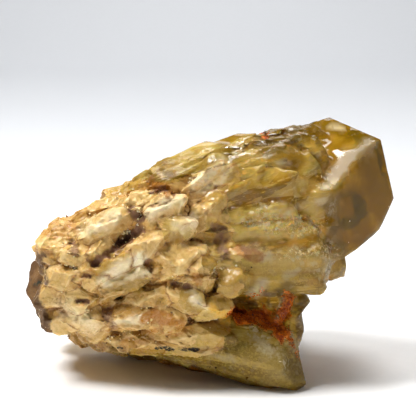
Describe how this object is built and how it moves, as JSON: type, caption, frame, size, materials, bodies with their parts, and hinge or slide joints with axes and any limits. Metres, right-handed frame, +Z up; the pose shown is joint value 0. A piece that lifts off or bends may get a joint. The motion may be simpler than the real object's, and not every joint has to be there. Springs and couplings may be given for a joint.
{
  "type": "citrine crystal cluster",
  "caption": "Natural citrine cluster: cream to smoky-yellow quartz crystals fanning out from a scrap of host rock to one large point.",
  "frame": {"origin": "on the floor under the middle of the cluster's box", "axes": "+X from the host rock towards the large point, +Y away from the front, +Z up"},
  "size_m": [0.1488, 0.0848, 0.105],
  "materials": {
    "citrine": "glossy translucent citrine",
    "smoky_citrine": "polished smooth growth faces, clear smoky yellow",
    "cream_quartz": "sugary, iron stained",
    "iron_crust": "matte rust",
    "host_rock": "rough brown"
  },
  "bodies": {
    "root": {"citrine_crystals": "citrine", "host_rock": "host_rock"}
  },
  "joints": []
}
